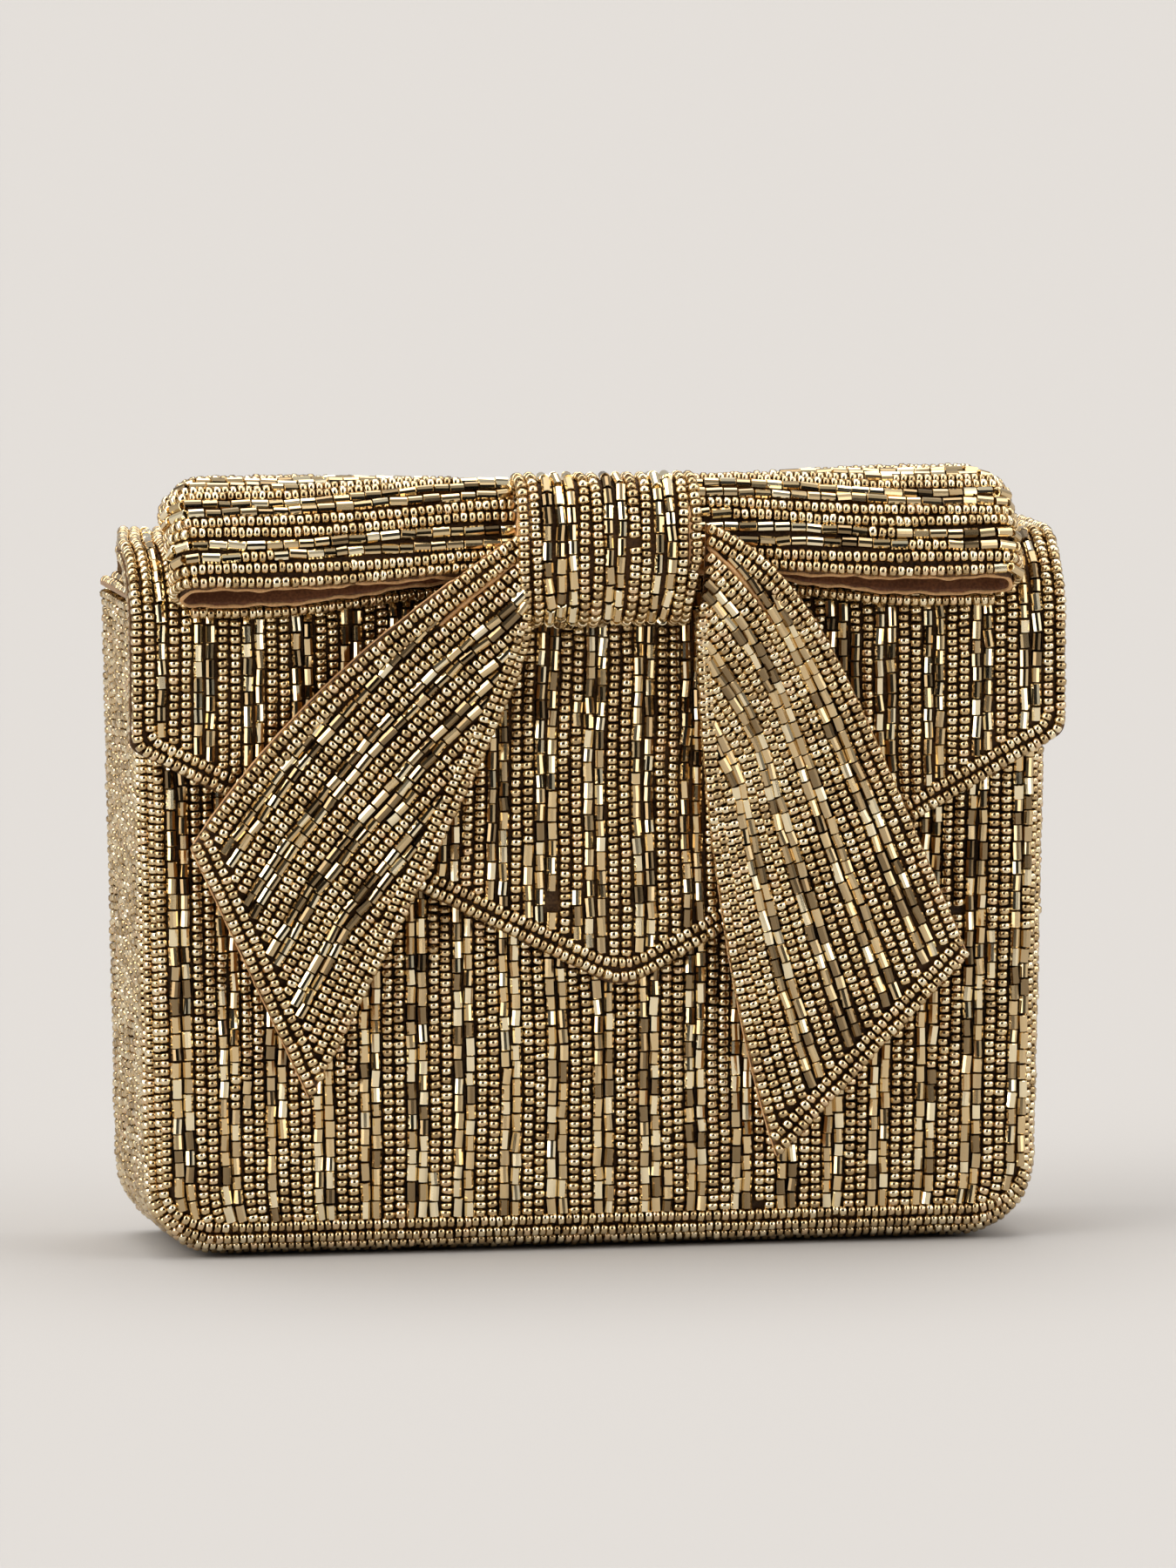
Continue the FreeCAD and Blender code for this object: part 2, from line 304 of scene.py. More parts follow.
SEED_TONES = [
    plain_material("seed_gold", (0.68, 0.515, 0.29), 1.0, 0.16),
    plain_material("seed_pale", (0.86, 0.715, 0.47), 1.0, 0.13),
    plain_material("seed_deep", (0.47, 0.335, 0.175), 1.0, 0.18),
    plain_material("seed_rosy", (0.76, 0.56, 0.34), 1.0, 0.21),
]
SEED_SHARES = [0.42, 0.25, 0.22, 0.11]
TUBE_TONES = [
    plain_material("tube_gold", (0.74, 0.56, 0.31), 1.0, 0.12),
    plain_material("tube_pale", (0.93, 0.80, 0.54), 1.0, 0.10),
    plain_material("tube_smoky", (0.27, 0.19, 0.10), 1.0, 0.13),
    plain_material("tube_dull", (0.56, 0.42, 0.235), 1.0, 0.13),
]
TUBE_SHARES = [0.39, 0.30, 0.12, 0.19]
TAIL_TUBE_SHARES = [0.30, 0.20, 0.27, 0.23]
# The cloth behind the body's and flap's beads: its brown is painted far darker, as painted shade in the
# gaps between the beads.
BACKING_WITH_PAINTED_SHADE = grained_material("brown_backing_painted_shade", (0.10, 0.052, 0.021), (0.04, 0.020, 0.008), 1800.0, 60.0)
FLAP_CLOTH_WITH_PAINTED_SHADE = grained_material("flap_cloth_painted_shade", (0.17, 0.088, 0.036), (0.07, 0.035, 0.014), 1800.0, 60.0)
# The ribbon's face under its beads: a dark copy of the tan ribbon satin, painted shade between the rows.
RIBBON_CLOTH_PAINTED_SHADE = grained_material("ribbon_cloth_painted_shade", (0.15, 0.073, 0.028), (0.065, 0.031, 0.012), 1800.0, 60.0)
RIBBON_SATIN = grained_material(
    "ribbon_satin", (0.84, 0.50, 0.235), (0.60, 0.33, 0.14), 2200.0, 45.0, roughness=0.4
)
# The inside of each loop: a darker copy of the ribbon satin, painted shade in the loop's hollow.
RIBBON_INSIDE_PAINTED_SHADE = grained_material(
    "ribbon_inside_painted_shade", (0.25, 0.095, 0.036), (0.13, 0.045, 0.017), 2200.0, 45.0, roughness=0.5
)
LINING_SATIN = grained_material(
    "lining_satin", (0.40, 0.245, 0.13), (0.28, 0.165, 0.082), 2200.0, 45.0, roughness=0.45
)
CARD = grained_material("card", (0.36, 0.29, 0.20), (0.24, 0.185, 0.125), 700.0, 90.0, roughness=0.85)
SNAP_METAL = grained_material(
    "snap_brass", (0.72, 0.56, 0.32), (0.50, 0.36, 0.18), 900.0, 120.0, 1.0, 0.28, relief=0.00003
)
MAGNET = grained_material(
    "magnet_grey", (0.030, 0.028, 0.026), (0.016, 0.015, 0.014), 1200.0, 200.0, 0.0, 0.5, relief=0.00005
)


# ---- bead shapes


def turned(profile, sides):
    """A profile of (radius, height) turned about the third axis, closed through the hole."""
    angles = np.arange(sides) * 2.0 * math.pi / sides
    points = [(r * math.cos(a), r * math.sin(a), h) for r, h in profile for a in angles]
    faces = []
    rings = len(profile)
    for i in range(rings):
        j = (i + 1) % rings
        for k in range(sides):
            m = (k + 1) % sides
            faces.append((i * sides + k, j * sides + k, j * sides + m, i * sides + m))
    return np.array(points), np.array(faces)


def seed_shape():
    """A round bead with a hole, its length along the third axis."""
    half = SEED_LONG / 2.0
    profile = [
        (SEED_HOLE, 0.0),
        (0.72 * SEED_R, 0.98 * half),
        (SEED_R, 0.54 * half),
        (SEED_R, -0.54 * half),
        (0.72 * SEED_R, -0.98 * half),
    ]
    return turned(profile, SEED_SIDES)


def tube_shape():
    """A short tube with many flats and cut ends."""
    half = TUBE_LONG / 2.0
    profile = [
        (TUBE_HOLE, 0.96 * half),
        (0.86 * TUBE_R, half),
        (TUBE_R, 0.94 * half),
        (TUBE_R, -0.94 * half),
        (0.86 * TUBE_R, -half),
        (TUBE_HOLE, -0.96 * half),
    ]
    return turned(profile, TUBE_SIDES)


SHAPES = {"S": seed_shape(), "B": tube_shape()}
LONG = {"S": SEED_LONG, "B": TUBE_LONG}
GAP = {"S": SEED_GAP, "B": TUBE_GAP}
OTHER = {"S": "B", "B": "S"}
LENGTH_SPREAD = {"S": 0.07, "B": 0.14}
LEAN = {"S": 0.085, "B": 0.045}
SHIFT_ACROSS = 0.07
SHIFT_OUT = 0.08
WIDTH_USUAL = 0.955
WIDTH_SPREAD = 0.04


def strung(kind, total, missing):
    """Middles and lengths of the beads that fill a thread, a few of them missing."""
    count = int(round(total / (LONG[kind] + GAP[kind])))
    if count < 1:
        return [], []
    longs = LONG[kind] * np.clip(chance.normal(1.0, LENGTH_SPREAD[kind], count), 0.75, 1.3)
    gaps = GAP[kind] * chance.uniform(0.4, 1.6, count)
    fit = total / (longs + gaps).sum()
    longs = longs * fit
    ends = np.cumsum(longs + gaps * fit)
    middles = ends - gaps * fit / 2.0 - longs / 2.0
    present = chance.uniform(size=count) > missing
    return middles[present], longs[present]


def nudged(vectors, side, out, spread_side, spread_out):
    """Vectors moved at random along two directions."""
    count = (len(vectors), 1)
    return vectors + side * chance.normal(0, spread_side, count) + out * chance.normal(0, spread_out, count)


class Beadwork:
    """Beads laid along threads, gathered until they are made into one mesh of each kind."""

    def __init__(self):
        self.rows = {"S": [], "B": []}

    def lay(self, path, outward, kind, missing=MISSING):
        """Strings beads of one kind along a path; outward points away from the cloth."""
        path = np.asarray(path, float)
        along = lengths_along(path)
        total = along[-1]
        middles, longs = strung(kind, total, missing)
        count = len(middles)
        if count == 0:
            return
        centre = read_at(middles, along, path)
        out = unit(read_at(middles, along, np.asarray(outward, float)))
        ahead = read_at(np.minimum(middles + 0.5, total), along, path)
        behind = read_at(np.maximum(middles - 0.5, 0.0), along, path)
        forward = unit(ahead - behind)
        side = unit(np.cross(forward, out))
        forward = nudged(forward, side, out, LEAN[kind], LEAN[kind])
        centre = nudged(centre, side, out, SHIFT_ACROSS, SHIFT_OUT)
        width = np.clip(chance.normal(WIDTH_USUAL, WIDTH_SPREAD, count), 0.86, 1.05)
        self.rows[kind].append(np.column_stack([centre, unit(forward), out, longs / LONG[kind], width]))

    def lay_mixed(self, path, outward, kind, share=SWAP_SHARE):
        """A row of one kind of bead that now and then changes over to the other for a stretch."""
        along = lengths_along(path)
        total = along[-1]
        start = 0.0
        while start < total - 1.0:
            swap = total > 2 * SHORTEST_END and chance.uniform() < share
            run = chance.uniform(*(SWAPPED_RUN if swap else USUAL_RUN))
            end = total if total - start - run < SHORTEST_END else start + run
            where = np.linspace(start, end, max(3, int((end - start) / STEP)))
            laid = OTHER[kind] if swap else kind
            self.lay(read_at(where, along, path), read_at(where, along, outward), laid)
            start = end

    def part(self, chosen):
        """The beads whose middles pass a test, as beadwork of its own."""
        some = Beadwork()
        for kind, rows in self.rows.items():
            if rows:
                beads = np.concatenate(rows)
                some.rows[kind] = [beads[chosen(beads[:, :3])]]
        return some

    def mesh(self, kind):
        """Points and faces for all the beads of one kind."""
        beads = np.concatenate(self.rows[kind])
        centre, forward, out = beads[:, 0:3], beads[:, 3:6], beads[:, 6:9]
        stretch, width = beads[:, 9], beads[:, 10]
        shape, faces = SHAPES[kind]
        side = unit(np.cross(forward, out))
        out = np.cross(side, forward)
        spin = chance.uniform(0, 2 * math.pi, len(beads))[:, None]
        first = side * np.cos(spin) + out * np.sin(spin)
        second = out * np.cos(spin) - side * np.sin(spin)
        points = (
            centre[:, None, :]
            + first[:, None, :] * (shape[None, :, 0] * width[:, None])[:, :, None]
            + second[:, None, :] * (shape[None, :, 1] * width[:, None])[:, :, None]
            + forward[:, None, :] * (shape[None, :, 2] * stretch[:, None])[:, :, None]
        )
        steps = np.arange(len(beads))[:, None, None] * len(shape)
        return points.reshape(-1, 3), (faces[None] + steps).reshape(-1, 4)


def mesh_object(name, points, faces, materials, flat=False):
    """A Blender object from points in millimetres and four-sided faces."""
    mesh = bpy.data.meshes.new(name)
    mesh.vertices.add(len(points))
    mesh.vertices.foreach_set("co", (np.asarray(points, np.float32) * MM).ravel())
    mesh.loops.add(faces.size)
    mesh.loops.foreach_set("vertex_index", faces.ravel().astype(np.int32))
    mesh.polygons.add(len(faces))
    mesh.polygons.foreach_set("loop_start", np.arange(0, faces.size, 4, dtype=np.int32))
    mesh.polygons.foreach_set("use_smooth", np.full(len(faces), not flat))
    for material in materials:
        mesh.materials.append(material)
    mesh.update(calc_edges=True)
    made = bpy.data.objects.new(name, mesh)
    bpy.context.scene.collection.objects.link(made)
    return made


def quads(index):
    """Four-sided faces between neighbours in a grid of point numbers."""
    corners = [index[:-1, :-1], index[1:, :-1], index[1:, 1:], index[:-1, 1:]]
    return np.stack(corners, axis=-1).reshape(-1, 4)


MOST_FACES = 98000


def ride_or_bend(piece, body):
    """Fixes a piece to a body, or, when given (body, body, start, end), bakes its placement into its mesh
    without bending it.
    """
    if isinstance(body, str):
        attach(piece, body)
    else:
        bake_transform(piece)


def bead_objects(name, work, body, replaced=(), tube_shares=TUBE_SHARES):
    """One object for the seed beads and one for the tube beads of a panel, split where too large."""
    made = []
    for kind, word, tones, shares, flat in (
        ("S", "seeds", SEED_TONES, SEED_SHARES, False),
        ("B", "tubes", TUBE_TONES, tube_shares, True),
    ):
        if not work.rows[kind]:
            continue
        points, faces = work.mesh(kind)
        points_each = len(SHAPES[kind][0])
        faces_each = len(SHAPES[kind][1])
        beads = len(faces) // faces_each
        if beads == 0:
            continue
        groups = math.ceil(len(faces) / MOST_FACES)
        bounds = np.linspace(0, beads, groups + 1).astype(int)
        for group, (start, end) in enumerate(zip(bounds, bounds[1:])):
            label = f"{name}_{word}" + (f"_{group + 1}" if groups > 1 else "")
            own_points = points[start * points_each:end * points_each]
            own_faces = faces[start * faces_each:end * faces_each] - start * points_each
            some = mesh_object(label, own_points, own_faces, tones, flat)
            tone = chance.choice(len(tones), end - start, p=shares)
            some.data.polygons.foreach_set("material_index", np.repeat(tone, faces_each).astype(np.int32))
            ride_or_bend(some, body)
            made.append(some)
    if replaced:
        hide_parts(*replaced)
    return made


# ---- the body


def half_width(z):
    """Half the body's width at a height, through the middles of the side beads."""
    return HALF_TOP - BASE_DRAWS_IN * (1.0 - z / TOP_OF_SIDES) - SEED_R


def outline_distance(x, z):
    """How far a point lies in from the body's outline, and the outward direction there."""
    side = half_width(z) - np.abs(x)
    base = z - SEED_R
    over = np.abs(x) - (half_width(CORNER) - CORNER)
    under = SEED_R + CORNER - z
    reach = np.maximum(np.hypot(over, under), 1e-6)
    in_corner = (over > 0) & (under > 0)
    distance = np.where(in_corner, CORNER - reach, np.where(over > under, side, base))
    out_x = np.where(in_corner, over / reach, np.where(over > under, 1.0, 0.0)) * np.sign(x)
    out_z = np.where(in_corner, -under / reach, np.where(over > under, 0.0, -1.0))
    return distance, out_x, out_z


def face_point(x, z, front=True):
    """Point and outward direction on the front or back bead surface."""
    distance, out_x, out_z = outline_distance(x, z)
    past = np.clip(BEND - distance, 0.0, BEND * 0.995)
    rise = np.sqrt(BEND**2 - past**2)
    slope = past / rise
    points = np.stack([x, -(HALF_DEPTH - SEED_R) + BEND - rise, z], axis=1)
    out = unit(np.stack([slope * out_x, -np.ones_like(x), slope * out_z], axis=1))
    if not front:
        points[:, 1] *= -1
        out[:, 1] *= -1
    return points, out


def seam_distance(out_z):
    """Where a panel ends and the gusset begins, measured in from the outline."""
    return SEAM_AT_SIDE + (SEAM_AT_BASE - SEAM_AT_SIDE) * np.clip(-out_z, 0.0, 1.0) ** 2


def wave(u, v, seed=0.0):
    """Slow sideways wander of hand-laid rows."""
    slow = WANDER * np.sin(v / 13.0 + u / 21.0 + seed)
    return slow + WANDER_FINE * np.sin(v / 6.1 - u / 11.0 + 2.1 * seed + 1.3)


def panel_rows(top, front=True, seed=0.0):
    """Upright rows over the front or back panel: two of seed beads, then two of tube beads."""
    work = Beadwork()
    widest = half_width(TOP_OF_SIDES)
    flat = widest - BEND
    reach = flat + BEND * math.asin((BEND - SEAM_AT_SIDE) / BEND) - ROW_OFF_SEAM
    rows = round(reach / BODY_ROW)
    pitch = reach / rows
    for i in range(-rows, rows + 1):
        z = np.linspace(SEED_R + 1.0, top, int(top / PANEL_STEP))
        rise = np.clip(CORNER + SEED_R - z, 0.0, CORNER)
        corner_in = CORNER - np.sqrt(CORNER**2 - rise**2)
        s = (i * pitch + wave(i * pitch, z, seed) * (1 - abs(i) / rows)) * half_width(z) / widest
        s = s - np.sign(s) * 0.75 * corner_in * (np.abs(s) / widest) ** 4
        past = np.clip((np.abs(s) - (half_width(z) - BEND)) / BEND, 0.0, 1.4)
        x = np.where(past > 0, np.sign(s) * (half_width(z) - BEND + BEND * np.sin(past)), s)
        distance, _, out_z = outline_distance(x, z)
        inside = distance > seam_distance(out_z) + SEAM_CLEAR
        if inside.sum() < 8:
            continue
        points, out = face_point(x[inside], z[inside], front)
        work.lay_mixed(points, out, PATTERN[(i + 2) % 4])
    return work


def gusset_outline():
    """The body's outline from the left top round the base to the right top, with outward directions."""
    corner_x = half_width(CORNER) - CORNER
    corner_z = SEED_R + CORNER
    points = []
    outs = []
    for z in np.arange(TOP_OF_SIDES - 1.0, corner_z, -1.0):
        points.append((-half_width(z), z))
        outs.append((-1.0, 0.0))
    for a in np.linspace(math.pi, 1.5 * math.pi, 24):
        points.append((-corner_x + CORNER * math.cos(a), corner_z + CORNER * math.sin(a)))
        outs.append((math.cos(a), math.sin(a)))
    left = list(zip(points, outs))
    for x in np.arange(-corner_x + 1.0, corner_x, 1.0):
        points.append((x, SEED_R))
        outs.append((0.0, -1.0))
    for (x, z), (out_x, out_z) in reversed(left):
        points.append((-x, z))
        outs.append((-out_x, out_z))
    return np.array(points), np.array(outs)


def gusset_rows():
    """Rows of seed beads that run round the sides and base, and rows on each side's top edge."""
    work = Beadwork()
    outline, outs = gusset_outline()
    level = HALF_DEPTH - SEED_R - BEND
    seam = seam_distance(outs[:, 1])
    widest = level + BEND * np.arccos(1.0 - seam / BEND)
    for i in range(-GUSSET_ROWS, GUSSET_ROWS + 1):
        across = widest * i / GUSSET_ROWS
        sign = math.copysign(1.0, i)
        turn = np.maximum(0.0, np.abs(across) - level) / BEND
        path = outline - outs * (BEND * (1 - np.cos(turn)))[:, None]
        y = np.where(turn > 0, sign * (level + BEND * np.sin(turn)), across)
        y = y + GUSSET_WANDER * np.sin(lengths_along(outline) / 9.0 + i) * (1 - abs(i) / GUSSET_ROWS)
        points = np.stack([path[:, 0], y, path[:, 1]], axis=1)
        outward = outs * np.cos(turn)[:, None]
        facing = np.stack([outward[:, 0], sign * np.sin(turn), outward[:, 1]], axis=1)
        work.lay(points, facing, "S", missing=FEW_MISSING)
    lay_gusset_tops(work)
    return work


def lay_gusset_tops(work):
    """Two rows of seed beads along each side's top edge."""
    y = np.arange(-HALF_DEPTH + 4.5, HALF_DEPTH - 3.0, STEP)
    for sign in (-1.0, 1.0):
        for inward, up in ((0.4, 0.4), (2.2, 1.0)):
            x = np.full(len(y), sign * (half_width(TOP_OF_SIDES) - inward))
            rim = np.stack([x, y, np.full(len(y), TOP_OF_SIDES + up)], axis=1)
            work.lay(rim, np.tile([sign * 0.5, 0.0, 0.87], (len(y), 1)), "S")


# ---- the flap


def flap_profile():
    """The flap's bead surface seen from the side, from the hinge over the top and down the front."""
    back = HALF_DEPTH - SEED_R
    top = FLAP_TOP - SEED_R
    front = -FLAP_FRONT + SEED_R
    r_back = BACK_ROUND - SEED_R
    r_front = FRONT_ROUND - SEED_R
    points = [(back, HINGE_Z)]
    for a in np.linspace(0.0, math.pi / 2, 10):
        points.append((back - r_back + r_back * math.cos(a), top - r_back + r_back * math.sin(a)))
    for a in np.linspace(math.pi / 2, math.pi, 18):
        points.append((front + r_front + r_front * math.cos(a), top - r_front + r_front * math.sin(a)))
    points.append((front, APEX[1] - 10.0))
    return refine(points)


FLAP_PATH = flap_profile()
FLAP_ALONG = lengths_along(FLAP_PATH)
FRONT_PART = FLAP_PATH[:, 0] < -FLAP_FRONT + FRONT_ROUND


def along_at(z):
    """Distance from the hinge over the top and down the front to a height."""
    return float(np.interp(-z, -FLAP_PATH[FRONT_PART, 1], FLAP_ALONG[FRONT_PART]))


FLAP_SIDE = along_at(SIDE_Z)
FLAP_CORNERS = [
    (-FLAP_HALF, 0.0),
    (-FLAP_HALF, -FLAP_SIDE),
    (APEX[0], -along_at(APEX[1])),
    (FLAP_HALF, -FLAP_SIDE),
    (FLAP_HALF, 0.0),
]


def flap_point(x, a, out_by=0.0):
    """Point and outward direction on the flap, x across and a along from the hinge."""
    here = read_at(a, FLAP_ALONG, FLAP_PATH)
    step = read_at(a + 0.5, FLAP_ALONG, FLAP_PATH) - read_at(a - 0.5, FLAP_ALONG, FLAP_PATH)
    out = unit(np.stack([np.zeros_like(a), step[:, 1], -step[:, 0]], axis=1))
    towards_hinge = np.clip((here[:, 0] - NARROWS_FROM_Y) / (HALF_DEPTH - NARROWS_FROM_Y), 0.0, 1.0)
    narrow = np.where(x < 0, NARROW_LEFT, NARROW_RIGHT) * towards_hinge
    return np.stack([x * (1.0 - narrow), here[:, 0], here[:, 1]], axis=1) + out * out_by, out


def flap_edge_rows():
    """Two rows of seed beads round the flap's edge and one down each side face."""
    edge = Beadwork()
    for inset in (SEED_R, SEED_R + EDGE_ROW):
        line = refine(rounded(moved_in(FLAP_CORNERS, inset), FLAP_ROUNDS))
        points, out = flap_point(line[:, 0], -line[:, 1], EDGE_LIFT)
        edge.lay(points, out, "S", missing=FEW_MISSING)
    for sign in (-1.0, 1.0):
        a = np.arange(1.0, FLAP_SIDE - 1.0, STEP)
        points, _ = flap_point(np.full(len(a), sign * (FLAP_HALF - SIDE_ROW_IN)), a, -SIDE_ROW_UNDER)
        edge.lay(points, np.tile([sign, 0.0, 0.0], (len(a), 1)), "S", missing=FEW_MISSING)
    return edge


def flap_field_rows():
    """Upright rows over the flap, down to its edge rows."""
    field = Beadwork()
    limit = rounded(moved_in(FLAP_CORNERS, 2 * EDGE_ROW - FIELD_OVERLAP), FLAP_ROUNDS)
    half = FLAP_HALF - 2 * EDGE_ROW - SEED_R
    rows = round(half / FLAP_ROW)
    pitch = half / rows
    for i in range(-rows, rows + 1):
        low = np.interp(i * pitch, limit[:, 0], -limit[:, 1]) - chance.uniform(0.0, 0.35)
        a = np.linspace(0.0, low, int(low / STEP))
        x = i * pitch + wave(i * pitch, a, 4.0) * (1 - abs(i) / rows)
        points, out = flap_point(x, a)
        field.lay_mixed(points, out, PATTERN[(i + 3) % 4], share=FEW_SWAPS)
    return field


# ---- ribbon


class Ribbon:
    """A curved strip, as a grid of bead middles: lines across it, one after another along it."""

    def __init__(self, grid):
        self.grid = grid
        normal = unit(np.cross(np.gradient(grid, axis=1), np.gradient(grid, axis=0)))
        faces_back = normal[2, grid.shape[1] // 3, 1] > 0
        self.out = -normal if faces_back else normal
        self.area = self.measure()

    def measure(self):
        """The strip's surface, in square millimetres."""
        along = self.grid[1:, :-1] - self.grid[:-1, :-1]
        across = self.grid[:-1, 1:] - self.grid[:-1, :-1]
        return float(np.linalg.norm(np.cross(along, across), axis=2).sum())

    def at(self, along, across):
        """Points and outward directions at fractions of its length and width."""
        lines, width = self.grid.shape[:2]
        i = np.clip(along, 0.0, 1.0) * (lines - 1)
        j = np.clip(across, 0.0, 1.0) * (width - 1)
        i0 = np.minimum(i.astype(int), lines - 2)
        j0 = np.minimum(j.astype(int), width - 2)
        u = (i - i0)[:, None]
        v = (j - j0)[:, None]

        def mixed(values):
            near = (1 - v) * values[i0, j0] + v * values[i0, j0 + 1]
            far = (1 - v) * values[i0 + 1, j0] + v * values[i0 + 1, j0 + 1]
            return (1 - u) * near + u * far

        return mixed(self.grid), unit(mixed(self.out))

    def satin(self, name, rear_material):
        """The cloth the beads are sewn to, as a thin closed sheet with its own cloth behind; its face under
        the beads is painted dark as shade, its edge keeps the satin's own colour.
        """
        lines, width = self.grid.shape[:2]
        face = self.grid - self.out * SATIN_BEHIND
        rear = face - self.out * SATIN_THICK
        points = np.concatenate([face.reshape(-1, 3), rear.reshape(-1, 3)])
        index = np.arange(lines * width).reshape(lines, width)
        front = quads(index)
        back = front[:, ::-1] + lines * width
        rim = np.concatenate([index[:, 0], index[-1, 1:], index[-2::-1, -1], index[0, -2::-1]])
        after = np.roll(rim, -1)
        edge = np.stack([after, rim, rim + lines * width, after + lines * width], axis=1)
        faces = np.concatenate([front, back, edge[:-1]])
        made = mesh_object(name, points, faces, [RIBBON_CLOTH_PAINTED_SHADE, rear_material, RIBBON_SATIN])
        side = np.repeat([0, 1, 2], [len(front), len(back), len(edge) - 1])
        made.data.polygons.foreach_set("material_index", side.astype(np.int32))
        return made


def row_places(rows, width, margin):
    """Middles of evenly spaced rows as fractions of a ribbon's width, inside its margins."""
    pitch = (width - 2 * margin) / rows
    return [(margin + (j + 0.5) * pitch) / width for j in range(rows)]


def hem(name, path, radius=HEM_R, ripple=0.0):
    """The satin's folded edge, a soft round line along a path."""
    path = refine(path)
    where = lengths_along(path)
    path[:, 2] += ripple * (np.sin(0.5 * where) + 0.6 * np.sin(1.3 * where + 1.0))
    forward = unit(np.gradient(path, axis=0))
    side = unit(np.cross(forward, np.array([0.31, 0.17, 0.94])))
    up = np.cross(side, forward)
    angles = np.linspace(0.0, 2 * math.pi, HEM_SIDES, endpoint=False)
    along = lengths_along(path)
    taper = np.sqrt(np.clip(np.minimum(along, along[-1] - along), 0.001, 1.0))
    thick = radius * (0.85 + 0.2 * np.sin(along * 1.3) * np.sin(along * 0.37)) * taper
    rings = (
        path[:, None, :]
        + side[:, None, :] * (np.cos(angles)[None, :] * thick[:, None])[:, :, None]
        + up[:, None, :] * (np.sin(angles)[None, :] * thick[:, None])[:, :, None]
    )
    index = np.arange(len(path) * HEM_SIDES).reshape(len(path), HEM_SIDES)
    turned_on = np.roll(index, -1, axis=1)
    faces = np.stack([index[:-1], turned_on[:-1], turned_on[1:], index[1:]], axis=-1).reshape(-1, 4)
    made = mesh_object(name, rings.reshape(-1, 3), faces, [RIBBON_SATIN])
    return made


# ---- the bow's loops

LOOP_WIDTH = LOOP_ROWS * RIBBON_ROW + 2 * LOOP_MARGIN
FOLD_Y = -FLAP_FRONT + FRONT_ROUND
FOLD_Z = FLAP_TOP - FRONT_ROUND
LOOP_BACK_R = FRONT_ROUND + 2.3
LOOP_BACK_LINES = 40

# Half depth, half height and middle of the loop's front curve by the knot, and their change to its end
LOOP_DEEP = (8.0, 11.0)
LOOP_TALL = (16.0, 1.8)
LOOP_Y = (-24.5, 8.5)
LOOP_Z = (122.8, -1.6)


def front_of_loop(f, across):
    """Y and Z over the loop's front layer, curling back over the flap, f from the knot to the fold."""
    ease = smooth(f / 0.8)
    deep, tall, centre_y, centre_z = [a + b * ease for a, b in (LOOP_DEEP, LOOP_TALL, LOOP_Y, LOOP_Z)]
    angle = np.linspace(0.0, 1.25 * math.pi, 80)
    arc = np.stack([centre_y - deep * np.cos(angle), centre_z + tall * np.sin(angle)], axis=1)
    return read_at(across, lengths_along(arc), arc)


def back_of_loop(f, across):
    """Y and Z over the loop's back layer, which lies on the flap's fold."""
    start = math.radians(29.0 - 13.0 * smooth(f / 0.8))
    angle = start + across / LOOP_BACK_R
    return np.stack([FOLD_Y - LOOP_BACK_R * np.cos(angle), FOLD_Z + LOOP_BACK_R * np.sin(angle)], axis=1)


def loop_ribbon(knot_x, end_x):
    """A loop: out from the knot, round the fold at its end and back behind."""
    sign = math.copysign(1.0, end_x - knot_x)
    across = np.linspace(0.0, LOOP_WIDTH, 48)
    corner = 3.5 * smooth((across - 19.0) / 11.0)
    fold_x = end_x - sign * (LOOP_FOLD + SEED_R + corner)
    lines = []
    for f in np.linspace(0.0, 1.0, 44):
        x = knot_x + (fold_x - knot_x) * f
        lines.append(np.column_stack([x, front_of_loop(f, across)]))
    front = front_of_loop(1.0, across)
    back = back_of_loop(1.0, across)
    for a in np.linspace(0.0, math.pi, 16)[1:-1]:
        middle = (front + back) / 2 + (front - back) / 2 * math.cos(a)
        lines.append(np.column_stack([fold_x + sign * LOOP_FOLD * math.sin(a), middle]))
    for f in np.linspace(1.0, 0.02, LOOP_BACK_LINES):
        x = knot_x + (fold_x - knot_x) * f
        lines.append(np.column_stack([x, back_of_loop(f, across)]))
    return Ribbon(np.array(lines))


def build_loop(side, knot_x, end_x):
    """One loop's rows of beads and its satin, the loop's inside painted dark as shade."""
    ribbon = loop_ribbon(knot_x, end_x)
    work = Beadwork()
    along = np.linspace(0.0, 1.0, 240)
    for j, place in enumerate(row_places(LOOP_ROWS, LOOP_WIDTH, LOOP_MARGIN)):
        sway = 0.006 * np.sin(along * 17.0 + 1.7 * j)
        points, out = ribbon.at(along, place + sway)
        work.lay_mixed(points, out, PATTERN[j % 4], share=FEW_SWAPS)
    lower_edge = ribbon.grid[-LOOP_BACK_LINES:-4, 0] + np.array([0.0, -0.3, -1.0])
    work.lay(lower_edge, np.tile([0.0, -0.8, -0.6], (len(lower_edge), 1)), "S")
    beads = bead_objects(f"{side}_loop", work, "flap", [f"{side}_loop_beads"])
    satin = ribbon.satin(f"{side}_loop_satin", RIBBON_INSIDE_PAINTED_SHADE)
    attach(satin, "flap")
    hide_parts(f"{side}_loop_lining")
    middle = ribbon.grid[:, 0] - ribbon.out[:, 0] * (SATIN_BEHIND + SATIN_THICK / 2)
    edge = hem(f"{side}_loop_hem", middle, ripple=LOOP_RIPPLE)
    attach(edge, "flap")


# ---- the knot


